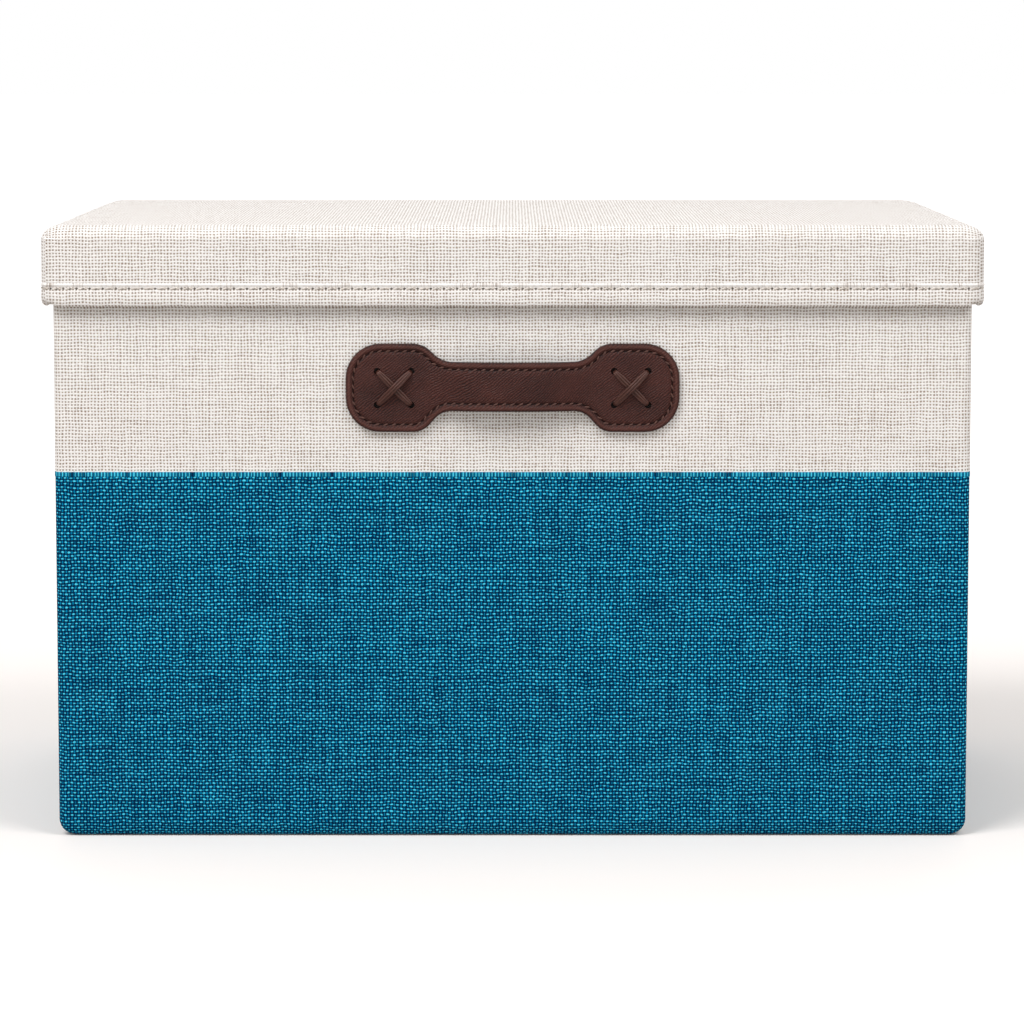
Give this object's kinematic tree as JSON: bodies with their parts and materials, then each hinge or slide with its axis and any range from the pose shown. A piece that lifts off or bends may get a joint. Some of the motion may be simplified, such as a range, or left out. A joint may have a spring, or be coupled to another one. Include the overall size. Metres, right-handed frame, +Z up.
{
  "type": "collapsible storage bin",
  "caption": "Rectangular storage bin of cloth over stiff board, with a lift-off lid, leather strap handles front and back, a loose base board and side walls creased to fold flat.",
  "frame": {"origin": "centre of the base, on the surface that the bin stands on", "axes": "+X along the long side, to the right seen from the front; +Y from front to back; +Z up; the front is at -Y"},
  "size_m": [0.461, 0.32, 0.302],
  "materials": {
    "beige_cloth": "plain weave, matt",
    "blue_cloth": "plain weave, matt",
    "lining_cloth": "non-woven, matt",
    "brown_leather": "fine grain, slight sheen",
    "brown_cord": "waxed twisted cord",
    "grey_plastic": "moulded",
    "beige_tape": "woven tape",
    "grey_board": "raw board"
  },
  "bodies": {
    "bin_base": {"bottom_cover": "blue_cloth", "rear_cover_upper": "beige_cloth", "rear_cover_lower": "blue_cloth", "rear_board": "grey_board", "rear_lining": "lining_cloth", "rear_handle_back": "brown_leather", "rear_handle_face": "brown_leather", "rear_handle_cords": "brown_cord", "rear_handle_anchors": "grey_plastic"},
    "left_rear_panel": {"left_rear_cover_upper": "beige_cloth", "left_rear_cover_lower": "blue_cloth", "left_rear_board": "grey_board", "left_rear_lining": "lining_cloth"},
    "left_front_panel": {"left_front_cover_upper": "beige_cloth", "left_front_cover_lower": "blue_cloth", "left_front_board": "grey_board", "left_front_lining": "lining_cloth"},
    "front_wall": {"front_cover_upper": "beige_cloth", "front_cover_lower": "blue_cloth", "front_board": "grey_board", "front_lining": "lining_cloth", "front_handle_back": "brown_leather", "front_handle_face": "brown_leather", "front_handle_cords": "brown_cord", "front_handle_anchors": "grey_plastic"},
    "right_rear_panel": {"right_rear_cover_upper": "beige_cloth", "right_rear_cover_lower": "blue_cloth", "right_rear_board": "grey_board", "right_rear_lining": "lining_cloth"},
    "right_front_panel": {"right_front_cover_upper": "beige_cloth", "right_front_cover_lower": "blue_cloth", "right_front_board": "grey_board", "right_front_lining": "lining_cloth"},
    "base_board": {"base_board_core": "grey_board", "base_board_cloth": "lining_cloth", "base_pull_tape": "beige_tape"},
    "lid": {"lid_cover": "beige_cloth", "lid_top_board": "grey_board", "lid_front_board": "grey_board", "lid_rear_board": "grey_board", "lid_left_board": "grey_board", "lid_right_board": "grey_board", "lid_lining": "lining_cloth"}
  },
  "joints": [
    {"name": "wall_fold", "type": "hinge", "parent": "bin_base", "child": "left_rear_panel", "pos_m": [-0.2208, 0.1421, 0.15], "axis": [0, 0, -1], "range_deg": [-90, 0]},
    {"name": "left_crease", "type": "hinge", "parent": "left_rear_panel", "child": "left_front_panel", "pos_m": [-0.2254, 0, 0.15], "axis": [0, 0, 1], "range_deg": [-180, 0]},
    {"name": "front_left_corner", "type": "hinge", "parent": "left_front_panel", "child": "front_wall", "pos_m": [-0.2208, -0.1421, 0.15], "axis": [0, 0, -1], "range_deg": [-90, 0]},
    {"name": "right_rear_corner", "type": "hinge", "parent": "bin_base", "child": "right_rear_panel", "pos_m": [0.2208, 0.1421, 0.15], "axis": [0, 0, 1], "range_deg": [-90, 0]},
    {"name": "right_crease", "type": "hinge", "parent": "right_rear_panel", "child": "right_front_panel", "pos_m": [0.2254, 0, 0.15], "axis": [0, 0, -1], "range_deg": [-180, 0]},
    {"name": "base_tip", "type": "hinge", "parent": "bin_base", "child": "base_board", "pos_m": [0, 0.1421, 0.0013], "axis": [1, 0, 0], "range_deg": [-90, 0]},
    {"name": "lid_lift", "type": "slide", "parent": "bin_base", "child": "lid", "axis": [0, 0, 1], "range_m": [0, 0.1]}
  ],
  "couplings": [
    {"joint": "left_crease", "follows": "wall_fold", "ratio": 2},
    {"joint": "front_left_corner", "follows": "wall_fold", "ratio": 1},
    {"joint": "right_rear_corner", "follows": "wall_fold", "ratio": 1},
    {"joint": "right_crease", "follows": "wall_fold", "ratio": 2}
  ]
}
